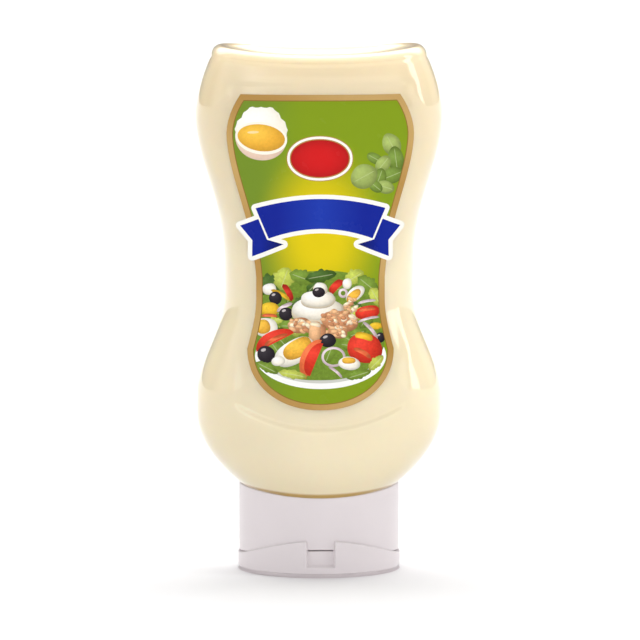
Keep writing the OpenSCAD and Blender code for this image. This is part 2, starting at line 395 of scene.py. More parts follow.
class Label:
    """Outline of a label, seen from the front."""

    def __init__(self, scene, skin):
        self.form = scene.label_form
        self.skin = skin
        self.low = self.form.low
        self.top = self.form.top
        self.round = self.low + self.form.round_height
        self.narrow = self.top - self.form.top_height

    def side(self, z):
        """Half width of the label at height z, held at its end widths beyond its ends."""
        z = min(max(z, self.low), self.top)
        if z < self.round:
            share = ((self.round - z) / self.form.round_height) ** LABEL_SQUARE
            return self.plain_side(self.round) * max(0.0, 1 - share) ** (1 / LABEL_SQUARE)
        if z < self.narrow:
            return self.plain_side(z)
        share = ((z - self.narrow) / self.form.top_height) ** 2
        return self.plain_side(self.narrow) * mix(1, self.form.top_share, share)

    def plain_side(self, z):
        """Half width of the label where it follows the bottle's side."""
        at, side = self.skin.at, self.skin.half_width(z) - self.form.inset
        if z < at.waist:
            return side - self.form.draw_in * ((at.waist - z) / (at.waist - self.round)) ** 2
        if at.rise < z < at.upper:
            share = (z - at.rise) / (at.upper - at.rise)
            return side + self.form.swell * math.sin(math.pi * share)
        return side


# ---------------------------------------------------------------- mesh tools


def build(name, points, faces, material, sharp=None):
    """Makes a mesh object from points and faces, smooth but for edges past the sharp angle."""
    mesh = bpy.data.meshes.new(name)
    mesh.from_pydata(points, [], faces)
    mesh.validate()
    mesh.shade_smooth()
    if sharp is not None:
        mesh.set_sharp_from_angle(angle=math.radians(sharp))
    mesh.materials.append(material)
    piece = bpy.data.objects.new(name, mesh)
    bpy.context.scene.collection.objects.link(piece)
    return piece


def settle(piece, slot, *nodes):
    """Puts a piece on the body and hides the CAD nodes that it stands for."""
    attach(piece, "root")
    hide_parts(*nodes)


def band_faces(first, count, rings, inward=False):
    """Quads between rings of points that follow each other from the point first."""
    faces = []
    for j in range(rings - 1):
        for k in range(count):
            a = first + j * count + k
            b = first + j * count + (k + 1) % count
            quad = (a, b, b + count, a + count)
            faces.append(quad[::-1] if inward else quad)
    return faces


def fan_faces(ring_first, count, middle, inward=False):
    """Triangles from a ring to its middle point."""
    faces = []
    for k in range(count):
        triangle = (ring_first + k, ring_first + (k + 1) % count, middle)
        faces.append(triangle[::-1] if inward else triangle)
    return faces


def lathe_like(rings, low_middle, high_middle):
    """Closed solid through rings that start at the bottom, with a point at each end."""
    count = len(rings[0])
    points = [p for ring in rings for p in ring] + [low_middle, high_middle]
    faces = band_faces(0, count, len(rings))
    faces += fan_faces(0, count, len(points) - 2, inward=True)
    faces += fan_faces((len(rings) - 1) * count, count, len(points) - 1)
    return points, faces


def store_values(mesh, name, values):
    """Keeps one number for each point of a mesh, for its material to read."""
    layer = mesh.attributes.new(name, "FLOAT", "POINT")
    layer.data.foreach_set("value", values)


# ---------------------------------------------------------------- materials


def new_group(name, inputs, outputs):
    """An empty shader node group with named sockets, and its two ends."""
    group = bpy.data.node_groups.new(name, "ShaderNodeTree")
    for label, kind, default in inputs:
        socket = group.interface.new_socket(name=label, in_out="INPUT", socket_type=kind)
        socket.default_value = default
    for label, kind in outputs:
        group.interface.new_socket(name=label, in_out="OUTPUT", socket_type=kind)
    return group, group.nodes.new("NodeGroupInput"), group.nodes.new("NodeGroupOutput")


def node(tree, kind, links=(), **settings):
    """Adds a node, sets its settings and links the given inputs to output sockets."""
    made = tree.nodes.new(kind)
    for key, value in settings.items():
        setattr(made, key, value)
    for socket, source in dict(links).items():
        if hasattr(source, "is_output"):
            tree.links.new(source, made.inputs[socket])
        else:
            made.inputs[socket].default_value = source
    return made


def calculated(tree, operation, *values):
    """Result of a maths node."""
    return node(tree, "ShaderNodeMath", dict(enumerate(values)), operation=operation).outputs[0]


def noise(tree, place, scale, detail, roughness=0.5):
    """Soft noise over a place."""
    links = {"Vector": place, "Scale": scale, "Detail": detail, "Roughness": roughness}
    return node(tree, "ShaderNodeTexNoise", links).outputs["Fac"]


def ranged(tree, value, start, end, low, high, **settings):
    """A value moved from one range to another."""
    links = {"Value": value, "From Min": start, "From Max": end, "To Min": low, "To Max": high}
    return node(tree, "ShaderNodeMapRange", links, **settings).outputs[0]


# Noise scales of the moulded surface: its ripples and the drift of its roughness, and the
# noise values between which the roughness goes from smooth to worn.
RIPPLE_SCALE = 55.0
WEAR_SCALE = 130.0
WEAR_START = 0.35
WEAR_END = 0.7


def moulded_group():
    """Moulded plastic: soft long ripples with a fine grain, and a roughness that drifts."""
    sockets = ("Grain scale", "Grain share", "Smooth", "Worn")
    group, start, end = new_group(
        "Moulded surface",
        [(name, "NodeSocketFloat", 1.0) for name in sockets],
        [("Height", "NodeSocketFloat"), ("Roughness", "NodeSocketFloat")],
    )
    scale, share, smooth, worn = (start.outputs[name] for name in sockets)
    place = node(group, "ShaderNodeTexCoord").outputs["Object"]
    ripples, grain = noise(group, place, RIPPLE_SCALE, 2.0), noise(group, place, scale, 3.0)
    height = node(group, "ShaderNodeMix", {0: share, 2: ripples, 3: grain}).outputs[0]
    wear = noise(group, place, WEAR_SCALE, 5.0)
    level = ranged(group, wear, WEAR_START, WEAR_END, smooth, worn)
    group.links.new(height, end.inputs["Height"])
    group.links.new(level, end.inputs["Roughness"])
    return group


def mottle_group():
    """Clouds a colour a little lighter and darker."""
    group, start, end = new_group(
        "Mottle",
        [
            ("Color", "NodeSocketColor", (0.8, 0.8, 0.8, 1.0)),
            ("Amount", "NodeSocketFloat", 0.1),
            ("Scale", "NodeSocketFloat", 300.0),
        ],
        [("Color", "NodeSocketColor")],
    )
    tone, amount, scale = (start.outputs[name] for name in ("Color", "Amount", "Scale"))
    place = node(group, "ShaderNodeTexCoord").outputs["Object"]
    swing = calculated(group, "SUBTRACT", noise(group, place, scale, 4.0, 0.6), 0.5)
    share = calculated(group, "MULTIPLY_ADD", swing, amount, 1.0)
    shaded_tone = node(group, "ShaderNodeVectorMath", {0: tone, 1: share}, operation="MULTIPLY")
    group.links.new(shaded_tone.outputs[0], end.inputs["Color"])
    return group


def shared_group(tree, name, maker, values):
    """Puts a node group into a material, and makes the group the first time."""
    group = bpy.data.node_groups.get(name) or maker()
    return node(tree, "ShaderNodeGroup", values, node_tree=group)


def start_material(name, **settings):
    """A material with its Principled shader set, ready for more nodes."""
    material = bpy.data.materials.new(name)
    material.use_nodes = True
    shader = material.node_tree.nodes["Principled BSDF"]
    for socket, value in settings.items():
        shader.inputs[socket.replace("_", " ")].default_value = value
    return material, material.node_tree, shader


def moulded(tree, shader, grain_scale, grain_share, smooth, worn, relief):
    """Gives a material a moulded surface: its roughness, and ripples as deep as the relief."""
    values = {"Grain scale": grain_scale, "Grain share": grain_share, "Smooth": smooth, "Worn": worn}
    surface = shared_group(tree, "Moulded surface", moulded_group, values)
    tree.links.new(surface.outputs["Roughness"], shader.inputs["Roughness"])
    ripples = {"Height": surface.outputs["Height"], "Strength": 1.0, "Distance": relief}
    bump = node(tree, "ShaderNodeBump", ripples)
    tree.links.new(bump.outputs["Normal"], shader.inputs["Normal"])


def clouded(tree, tone, amount, scale):
    """A colour with soft clouds in it."""
    values = {"Color": tone, "Amount": amount, "Scale": scale}
    return shared_group(tree, "Mottle", mottle_group, values).outputs["Color"]


def rgba(value):
    """A colour with full opacity."""
    return (*value, 1.0)


def cap_material(palette):
    """White polypropylene with a satin skin and a faint moulding ripple."""
    material, tree, shader = start_material(
        "White cap plastic",
        IOR=1.49,
        Specular_IOR_Level=0.5,
        Subsurface_Weight=0.15,
        Subsurface_Radius=(0.002, 0.002, 0.002),
        Subsurface_Scale=1.0,
    )
    tone = clouded(tree, rgba(palette.cap), amount=0.04, scale=90.0)
    tree.links.new(tone, shader.inputs["Base Color"])
    surface = {"grain_scale": 3200.0, "grain_share": 0.25, "smooth": 0.3, "worn": 0.36}
    moulded(tree, shader, **surface, relief=0.000015)
    return material


def clear_material(palette):
    """Clear glossy plastic that lets shadow rays through."""
    material, tree, shader = start_material(
        "Clear bottle plastic",
        Base_Color=rgba(palette.plastic),
        IOR=1.5,
        Transmission_Weight=1.0,
        Coat_Weight=0.7,
        Coat_Roughness=0.05,
        Coat_IOR=1.5,
    )
    surface = {"grain_scale": 1500.0, "grain_share": 0.08, "smooth": 0.04, "worn": 0.12}
    moulded(tree, shader, **surface, relief=0.00012)
    clear = node(tree, "ShaderNodeBsdfTransparent").outputs[0]
    shadow = node(tree, "ShaderNodeLightPath").outputs["Is Shadow Ray"]
    both = node(tree, "ShaderNodeMixShader", {0: shadow, 1: shader.outputs[0], 2: clear})
    tree.links.new(both.outputs[0], tree.nodes["Material Output"].inputs["Surface"])
    return material


def cream_material(palette):
    """Thick mayonnaise that has set against the wall, with a golden shade painted where it meets thick
    edges: the seam over the cap, the crown and the base's rim.
    """
    material, tree, shader = start_material(
        "Mayonnaise",
        Roughness=0.45,
        IOR=1.46,
        Subsurface_Weight=0.35,
        Subsurface_Radius=(0.004, 0.0028, 0.0014),
        Subsurface_Scale=1.0,
    )
    # The fill's painted golden shade is read from its points and mixed over the cream.
    painted_shade = node(tree, "ShaderNodeAttribute", attribute_name="painted_shade").outputs["Fac"]
    cream = clouded(tree, rgba(palette.cream), amount=0.06, scale=60.0)
    tones = {0: painted_shade, 6: cream, 7: rgba(palette.painted_shade)}
    toned = node(tree, "ShaderNodeMix", tones, data_type="RGBA")
    tree.links.new(toned.outputs[2], shader.inputs["Base Color"])
    return material


def print_material(name):
    """Glossy printed film: its colours come from the printed fields, with a soft mottle."""
    material, tree, shader = start_material(name, IOR=1.5, Specular_IOR_Level=0.12)
    ink = node(tree, "ShaderNodeAttribute", attribute_name="print").outputs
    tone = clouded(tree, ink["Color"], amount=ink["Alpha"], scale=900.0)
    tree.links.new(tone, shader.inputs["Base Color"])
    surface = {"grain_scale": 2600.0, "grain_share": 0.2, "smooth": 0.16, "worn": 0.3}
    moulded(tree, shader, **surface, relief=0.00005)
    return material


# ---------------------------------------------------------------- the filled bottle


# How closely the rings of the shell's outside, its inside and the fill follow each other.
OUTER_PITCH = 0.9 * MM
INNER_PITCH = 2 * MM
FILL_PITCH = 1.5 * MM
# How far the fill reaches into the wall.
FILL_REACH = 0.3 * MM
# The painted golden shade at the seam over the cap: height and pitch of its rings, and where it starts
# and ends to fade.
SEAM_HEIGHT = 2 * MM
SEAM_PITCH = 0.25 * MM
SEAM_FADE = (0.8 * MM, 1.8 * MM)
# How much painted golden shade the fill gets at the crown, and how much more at the base's rim. The
# rim's painted shade comes in between two angles of the rounded edge and goes between two shares of
# the base.
CROWN_SHADE = 0.14
RIM_SHADE = 0.3
RIM_BENDS = (70, 84)
RIM_SHARES = (0.96, 0.99)


def make_bottle(scene):
    """The clear shell, open at its mouth, where the cap closes it."""
    skin = Skin(scene)
    wall = scene.bottle_form.wall
    outer = skin.rings(0.0, OUTER_PITCH)
    inner = skin.rings(wall, INNER_PITCH)
    points = [p for ring in outer + inner for p in ring]
    points += [skin.base_middle(0.0), skin.base_middle(wall)]
    inner_first = len(outer) * RING_POINTS
    inner_last = len(points) - 2 - RING_POINTS
    faces = band_faces(0, RING_POINTS, len(outer))
    faces += band_faces(inner_first, RING_POINTS, len(inner), inward=True)
    faces += fan_faces(inner_first - RING_POINTS, RING_POINTS, len(points) - 2)
    faces += fan_faces(inner_last, RING_POINTS, len(points) - 1, inward=True)
    for k in range(RING_POINTS):
        after = (k + 1) % RING_POINTS
        faces.append((after, k, inner_first + k, inner_first + after))
    shell = build("bottle_shell", points, faces, clear_material(scene.palette), sharp=60)
    settle(shell, "bottle_plastic", "bottle")


def make_mayonnaise(scene):
    """The fill, which reaches a little way into the wall so that no gap shows."""
    skin = Skin(scene)
    inset = scene.bottle_form.wall - FILL_REACH
    mouth, seam = skin.at.mouth, skin.at.mouth + SEAM_HEIGHT
    levels = steps(mouth, seam, SEAM_PITCH) + steps(seam, skin.at.edge, FILL_PITCH)[1:]
    bends = range(10, 91, 5)
    shares = [1 - 0.02 * i for i in range(1, 5)] + [0.85 - 0.1 * i for i in range(8)]
    rings = [skin.side_ring(z, inset) for z in levels]
    rings += [skin.edge_ring(math.radians(bend), inset) for bend in bends]
    rings += [skin.base_ring(share, inset) for share in shares]
    # Painted golden shade: full at the seam over the cap and fading above it, a little towards the
    # crown, and more at the base's rim.
    painted_shade = [1 - rise(z - mouth, *SEAM_FADE) for z in levels]
    painted_shade = [o + CROWN_SHADE * rise(z, skin.at.rise, skin.at.edge) for o, z in zip(painted_shade, levels)]
    painted_shade += [CROWN_SHADE + RIM_SHADE * rise(bend, *RIM_BENDS) for bend in bends]
    painted_shade += [CROWN_SHADE + RIM_SHADE * rise(share, *RIM_SHARES) for share in shares]
    low = (0.0, 0.0, mouth - scene.cap_form.dip)
    points, faces = lathe_like(rings, low, skin.base_middle(inset))
    fill = build("mayonnaise_fill", points, faces, cream_material(scene.palette), sharp=60)
    values = [value for value in painted_shade for _ in range(RING_POINTS)] + [1.0, 0.0]
    store_values(fill.data, "painted_shade", values)
    settle(fill, "mayonnaise", "mayonnaise")


# ---------------------------------------------------------------- the flip cap


def arc_drop(x, half_span, drop):
    """How far a round arc has dropped at x, when it drops by the given amount at the span's end."""
    radius = (half_span**2 + drop**2) / (2 * drop)
    return radius - math.sqrt(max(0.0, radius**2 - x * x))


# Columns of points round the cap, rings on the skirt's straight wall, and how far the closed
# ends of the two parts reach inwards.
CAP_COLUMNS = 200
SKIRT_RINGS = 30
SKIRT_SEAL = 3 * MM
LID_SEAL = 6 * MM
# The lid's closed top: how far it reaches in past the skirt's wall and past the recess, and
# how far it lies below the joint.
TOP_PAST_WALL = 1 * MM
TOP_PAST_RECESS = 1.5 * MM
TOP_BELOW = 0.05 * MM
# Softness of the thumb recess's edges, round the cap and up its wall.
RECESS_SIDE = 0.35 * MM
RECESS_SOFT = 0.3 * MM


def cap_angles(cap):
    """Angles round the cap, closer together at the sides of the thumb recess."""
    half = cap.thumb_width / cap.lid_width
    wall = RECESS_SIDE / (cap.lid_width / 2)
    middle = math.pi * 1.5
    sides = [middle + math.asin(side) for side in (-half, half)]
    angles = [middle + math.tau * (k / CAP_COLUMNS - 0.5) for k in range(CAP_COLUMNS)]
    angles = [a for a in angles if min(abs(a - side) for side in sides) > 2.5 * wall]
    for side in sides:
        angles += [side + wall * k / 4 for k in range(-8, 9)]
    return sorted(angles)


def fillet(radius, start, end, count=5):
    """Points of a quarter round as pairs of inward and upward moves, both from 0 to the radius."""
    turn = [mix(start, end, i / count) for i in range(count + 1)]
    return [(radius * (1 - math.cos(a)), radius * math.sin(a)) for a in turn]


def make_cap_part(name, node_name, scene, half_width, half_depth, columns, low, high):
    """A closed part of the cap from its columns of pairs: how far inwards, and how high."""
    walls = []
    for angle, column in zip(cap_angles(scene.cap_form), columns):
        across, along = math.cos(angle), math.sin(angle)
        walls.append([((half_width - i) * across, (half_depth - i) * along, z) for i, z in column])
    rings = [list(ring) for ring in zip(*walls)]
    points, faces = lathe_like(rings, (0.0, 0.0, low), (0.0, 0.0, high))
    part = build(name, points, faces, cap_material(scene.palette), sharp=50)
    settle(part, "cap", node_name)


def make_cap_skirt(scene):
    """The fixed part of the cap: an oval wall under the bottle's shoulder."""
    cap = scene.cap_form
    half_width, edge = cap.width / 2, cap.edge_radius
    shares = [i / (SKIRT_RINGS + 1) for i in range(1, SKIRT_RINGS + 1)]
    columns = []
    for angle in cap_angles(cap):
        x = half_width * math.cos(angle)
        low = cap.joint - arc_drop(x, half_width, cap.joint_fall) + cap.joint_gap
        high = cap.height - cap.dip + arc_drop(x, half_width, cap.dip)
        column = [(SKIRT_SEAL, low)]
        column += [(edge - up, low + inn) for inn, up in fillet(edge, 0, math.pi / 2)]
        column += [(0.0, mix(low + edge, high - edge, share)) for share in shares]
        column += [(inn, high - edge + up) for inn, up in fillet(edge, 0, math.pi / 2)]
        column += [(SKIRT_SEAL, high)]
        columns.append(column)
    low, high = cap.joint + cap.joint_gap, cap.height - cap.dip
    make_cap_part("cap_skirt", "cap_base", scene, half_width, cap.depth / 2, columns, low, high)


def make_cap_lid(scene):
    """The shut lid that the bottle stands on, with its lip and the thumb recess."""
    cap = scene.cap_form
    foot, edge, floor = cap.foot_radius, cap.edge_radius, cap.thumb_floor
    proud = (cap.lid_depth - cap.depth) / 2
    columns = []
    for angle in cap_angles(cap):
        x = cap.lid_width / 2 * math.cos(angle)
        lip = cap.joint + cap.lip - arc_drop(x, cap.width / 2, cap.joint_fall + cap.lip)
        joint = cap.joint - arc_drop(x, cap.width / 2, cap.joint_fall)
        half = cap.thumb_width / 2
        recess = 0.0
        if math.sin(angle) < 0:
            recess = 1 - rise(abs(x), half - RECESS_SOFT, half + RECESS_SOFT)
        high = mix(lip, joint, recess)
        column = [(LID_SEAL, 0.0)]
        column += [(foot - inn, foot - up) for inn, up in fillet(foot, math.pi / 2, 0)]
        below, above = floor - 2 * RECESS_SOFT, floor + 2 * RECESS_SOFT
        levels = [mix(foot, below, i / 6) for i in range(1, 7)]
        levels += [floor + RECESS_SOFT * i / 2 for i in range(-3, 4)]
        levels += [mix(above, high - edge, i / 10) for i in range(11)]
        depth = (proud + cap.thumb_in) * recess
        column += [(depth * rise(z, below, above), z) for z in levels]
        inward = column[-1][0]
        column += [(inward + inn, high - edge + up) for inn, up in fillet(edge, 0, math.pi / 2)]
        under = max(proud + TOP_PAST_WALL, inward + TOP_PAST_RECESS)
        column += [(under, high), (under, joint - TOP_BELOW)]
        columns.append(column)
    sizes = (cap.lid_width / 2, cap.lid_depth / 2)
    make_cap_part("cap_flip_lid", "cap_lid", scene, *sizes, columns, 0.0, cap.joint)


# ---------------------------------------------------------------- printed shapes


FOOD = {
    "lettuce": (112, 140, 44),
    "lettuce_dark": (66, 98, 30),
    "lettuce_pale": (180, 190, 78),
    "basil": (112, 138, 52),
    "basil_pale": (152, 170, 90),
    "tomato": (214, 50, 28),
    "tomato_pale": (234, 110, 62),
    "pepper_red": (198, 40, 24),
    "pepper_yellow": (238, 186, 40),
    "olive": (34, 26, 34),
    "egg": (252, 246, 230),
    "yolk": (240, 178, 58),
    "shell": (236, 206, 184),
    "onion": (232, 208, 214),
    "cheese": (250, 244, 226),
    "tuna": (230, 176, 128),
    "tuna_pale": (246, 220, 188),
    "tuna_dark": (196, 134, 92),
    "sauce": (250, 242, 224),
    "sauce_shade": (232, 216, 188),
    "plate": (250, 250, 246),
    "plate_shade": (206, 206, 198),
    "yolk_glint": (250, 222, 160),
}
# Inks that only one thing uses: the ribbon's bright middle, the border's warm gold, and the film
# where nothing is printed.
RIBBON_BRIGHT = (24, 56, 172)
BORDER_WARM = (198, 162, 100)
BARE_FILM = (244, 240, 228)
# Linear tones that are mixed into a leaf's rib, a basil leaf's rib and an olive's glint.
LEAF_RIB = (0.8, 0.85, 0.5)
BASIL_RIB = (0.7, 0.8, 0.4)
OLIVE_GLINT = (0.55, 0.5, 0.5)
# How strongly food is mottled: smooth kinds, and all others.
SMOOTH_FOOD = ("sauce", "egg", "cheese", "sauce_shade")
SMOOTH_MOTTLE = 0.25
ROUGH_MOTTLE = 0.7

# The salad, back to front: kind, colour, middle across and up, half width, half height, turn.
SALAD_BACK = (
    ("leaf", "lettuce_dark", -19, 46, 6, 4, 20),
    ("leaf", "lettuce_pale", -13.5, 48.5, 4.5, 4, 70),
    ("leaf", "lettuce", -7, 49, 5, 3, -20),
    ("leaf", "lettuce_dark", 0, 49.5, 6, 2.5, 10),
    ("leaf", "lettuce_pale", 12.5, 49, 4, 3, 30),
    ("leaf", "lettuce", 17.5, 46, 5, 3, -40),
    ("leaf", "lettuce_pale", 20.5, 41.5, 4, 2.6, -60),
    ("blob", "cheese", -19, 44.5, 2.6, 2.1, 10),
    ("strip", "pepper_red", -12.4, 43.4, 3.6, 1.1, -62),
    ("strip", "pepper_yellow", -15, 42.4, 4, 0.7, -28),
    ("olive", "olive", -16.8, 41.3, 2.4, 2.4, 0),
    ("strip", "tomato", 5.8, 45.6, 3.4, 1.4, 45),
    ("blob", "cheese", 9.8, 46.7, 1.7, 2, 0),
    ("ring", "onion", 8.3, 43.2, 1.8, 1.8, 0),
    ("blob", "egg", 12.8, 42.8, 4, 2.3, 40),
    ("blob", "yolk", 12.2, 42.2, 3.2, 1.6, 40),
    ("strip", "onion", 17.2, 39.6, 3.6, 0.5, 8),
    ("blob", "tomato", 17.4, 35.8, 4.7, 2.5, 6),
    ("strip", "tomato_pale", 17.2, 36.6, 3.2, 0.6, 6),
    ("strip", "onion", 17.8, 33, 4.2, 0.45, 12),
    ("blob", "pepper_yellow", 20.6, 30.6, 2.4, 1.3, 0),
    ("blob", "pepper_yellow", -19, 37, 3.6, 2.5, 4),
    ("strip", "tomato_pale", -19, 34.4, 3, 0.6, 0),
    ("blob", "egg", -20.4, 30.2, 4.4, 3.6, 0),
    ("blob", "yolk", -21.4, 30.4, 2.7, 2.7, 0),
    ("strip", "onion", -13.4, 37.8, 3.4, 0.7, 30),
    ("olive", "olive", -12.9, 35.4, 2.6, 2.5, 0),
    ("blob", "sauce_shade", -1.2, 36.4, 9.8, 4.9, 0),
    ("blob", "sauce", -1.4, 37.4, 9.2, 4.2, 0),
    ("blob", "sauce_shade", -1, 40.5, 6.5, 3, 0),
    ("blob", "sauce", -1.2, 41.2, 6.2, 3, 0),
    ("blob", "sauce_shade", -0.2, 44.6, 2.8, 2.1, 0),
    ("blob", "sauce", -0.2, 45.2, 2.4, 2, 0),
    ("olive", "olive", -0.8, 43.6, 2.4, 1.9, 0),
    ("blob", "tuna_dark", -7.9, 31.2, 4.3, 2.9, 4),
    ("blob", "tuna_dark", 7, 32.6, 6.8, 4, -8),
    ("blob", "tuna_dark", 6.2, 28.6, 3.8, 2.2, -14),
)
SALAD_FRONT = (
    ("block", "tuna_dark", -0.4, 28.2, 2.2, 3.6, -8),
    ("block", "tuna", -2.2, 28.8, 2.2, 3.9, -4),
    ("strip", "tuna_pale", -2, 31.4, 2.1, 0.8, -14),
    ("olive", "olive", 2.6, 25.6, 3.1, 2.6, 0),
    ("slice", "tomato", -17, 24.6, 7.8, 4.4, 28),
    ("strip", "tomato_pale", -16.6, 25.6, 5, 0.7, 28),
    ("olive", "olive", -20.3, 20.2, 3.3, 3.2, 0),
    ("blob", "egg", -9.6, 21.3, 8, 4.5, 30),
    ("blob", "yolk", -8.6, 22.6, 5.8, 3.4, 32),
    ("blob", "cheese", -15.8, 17.8, 2.5, 1.8, 10),
    ("olive", "olive", 22.2, 26.2, 1.9, 1.9, 0),
    ("strip", "onion", 18.4, 29, 4.4, 0.6, -50),
    ("blob", "tomato", 16.4, 22.4, 6.6, 5.5, -14),
    ("strip", "pepper_yellow", 16, 26.6, 3.6, 1.2, -16),
    ("strip", "tomato_pale", 15.4, 20.6, 3.8, 0.8, -30),
    ("slice", "tomato_pale", -2.6, 18.4, 7.6, 5, 68),
    ("slice", "tomato", -1.6, 18.2, 6.8, 4, 68),
    ("ring", "onion", 4.7, 19.4, 4.5, 3.8, 0),
    ("strip", "onion", 5.4, 13.6, 3.4, 0.5, -40),
    ("blob", "egg", 10.6, 16.9, 4, 2.5, -8),
    ("blob", "yolk", 10.4, 18, 2.6, 1.2, 0),
    ("leaf", "lettuce", -20, 15.2, 4.6, 1.8, -26),
    ("leaf", "lettuce_pale", -10.5, 12.8, 5.4, 1.8, -10),
    ("leaf", "lettuce", 14.2, 12.6, 4.8, 1.8, 16),
    ("leaf", "lettuce_pale", 20.6, 16.8, 3.8, 2, 44),
)

# Heaps of tuna flakes: middle across and up, half width, half height and how many.
TUNA = (
    (-7.9, 31.4, 4.2, 2.6, 22),
    (11.4, 38.4, 2.4, 2.6, 12),
    (6.6, 33.2, 6.2, 4, 40),
    (5.8, 28.6, 3.8, 2, 14),
)

# Basil beside the badge: colour, middle across and up, half length, half width, turn.
BASIL = (
    ("basil", 20.2, 93.2, 3.4, 1.9, 150),
    ("basil_pale", 26.4, 98.2, 4.6, 3.3, 118),
    ("basil", 28, 92.6, 5, 3, 98),
    ("basil_pale", 23.2, 91, 3.6, 2.6, 50),
    ("basil", 26.6, 86.6, 4.4, 3, 20),
    ("basil", 21.8, 86, 3.6, 2.6, 70),
    ("basil_pale", 24, 82.4, 3.6, 2.4, -20),
    ("basil", 20.4, 82.8, 3, 2, 140),
    ("basil_pale", 16.1, 86.6, 5.1, 4.6, 28),
)

# Places of the egg and of the badge, across and up.
EGG_PLACE = (-22, 101.4)
BADGE_PLACE = (-0.3, 93.4)
# The salad's bed of leaves: height of its middle, half width and half height, and how many
# leaves lie on it and how far out they go.
BED_MIDDLE = 31
BED_SIZE = (24, 20.5)
BED_LEAVES = 34
BED_REACH = (22, 18.5)
# The pale panel on the back label: height of its middle, half width, half height and line.
PANEL_MIDDLE = 54
PANEL_SIZE = (20, 34)
PANEL_LINE = 0.6


class Patch:
    """One printed field: its closed outline, its paint and how much it is mottled.

    A field that spreads carries the film with it where it lies outside the label's outline.
    """

    def __init__(self, outline, paint, mottle=0.0, inner=(), spreads=False):
        self.outline = outline
        self.paint = paint
        self.mottle = mottle
        self.inner = list(inner)
        self.spreads = spreads
        self.low = [min(p[i] for p in outline) for i in (0, 1)]
        self.high = [max(p[i] for p in outline) for i in (0, 1)]

    def holds(self, x, z):
        """Whether a point lies inside the outline."""
        if not (self.low[0] < x < self.high[0] and self.low[1] < z < self.high[1]):
            return False
        inside = False
        x0, z0 = self.outline[-1]
        for x1, z1 in self.outline:
            if (z1 > z) != (z0 > z) and x < (x0 - x1) * (z - z1) / (z0 - z1) + x1:
                inside = not inside
            x0, z0 = x1, z1
        return inside


def turned(points, x, z, degrees):
    """Points turned about the origin and then moved to x, z."""
    c, s = math.cos(math.radians(degrees)), math.sin(math.radians(degrees))
    return [(x + c * u - s * v, z + s * u + c * v) for u, v in points]


def band_between(outer, inner):
    """One closed outline that runs round the outer one and back round the inner one."""
    return outer + outer[:1] + inner[:1] + inner[::-1]


def oval(half_width, half_height, square=2.0, count=28, wobble=0.0, seed=0):
    """Closed oval outline, with an uneven edge if it wobbles."""
    draw = random.Random(seed)
    phases = [draw.uniform(0, math.tau) for _ in range(3)]
    outline = []
    for k in range(count):
        angle = math.tau * k / count
        swing = sum(math.sin((n + 2) * angle + phase) for n, phase in enumerate(phases)) / 3
        size = 1 + wobble * swing
        u = signed_power(math.cos(angle), 2 / square)
        v = signed_power(math.sin(angle), 2 / square)
        outline.append((half_width * u * size, half_height * v * size))
    return outline


def ridge(half_length, half_width, bend=0.0, count=10):
    """Outline of a strip with round ends, whose middle bends up."""
    spine = [mix(-1, 1, i / count) for i in range(count + 1)]
    lift = [bend * (1 - u * u) for u in spine]
    width = [half_width * math.sqrt(max(0.0, 1 - abs(u) ** 5)) for u in spine]
    over = [(half_length * u, h + w) for u, h, w in zip(spine, lift, width)]
    under = [(half_length * u, h - w) for u, h, w in zip(spine, lift, width)]
    return over + under[-2:0:-1]


def leaf_outline(half_length, half_width, frill=0.0, count=14):
    """Outline of a pointed leaf, with a frilly edge if asked."""
    over, under = [], []
    for i in range(count + 1):
        u = mix(-1, 1, i / count)
        wave = 1 + frill * math.sin(9 * u + 1) + frill * math.sin(17 * u)
        v = half_width * (1 - u * u) ** 0.75 * wave
        over.append((half_length * u, v))
        under.append((half_length * u, -0.85 * v))
    return over + under[-2:0:-1]


def shaded(base, x, z, half_width, half_height, degrees, depth=0.45):
    """Paint that is lightest towards the upper left and darker round its edge."""
    light = tuple(min(1.0, 1.35 * c + 0.02) for c in base)
    dark = tuple(c * (1 - depth) for c in base)
    c, s = math.cos(math.radians(degrees)), math.sin(math.radians(degrees))

    def paint(px, pz):
        dx, dz = px - x, pz - z
        u = (c * dx + s * dz) / half_width
        v = (-s * dx + c * dz) / half_height
        lit = 1 - math.hypot(dx / half_width + 0.3, dz / half_height - 0.35)
        edge = min(1.0, math.hypot(u, v))
        return mix_colour(mix_colour(base, dark, edge**3 * (0.75 - 0.5 * lit)), light, lit)

    return paint


def glowing(base, x, z, half_width, half_height):
    """Paint that is a little deeper towards its edge."""
    deep = tuple(c * 0.7 for c in base)

    def paint(px, pz):
        reach = math.hypot((px - x) / half_width, (pz - z) / half_height)
        return mix_colour(base, deep, reach**3)

    return paint


def flat(base):
    """Paint of one colour."""
    return lambda x, z: base


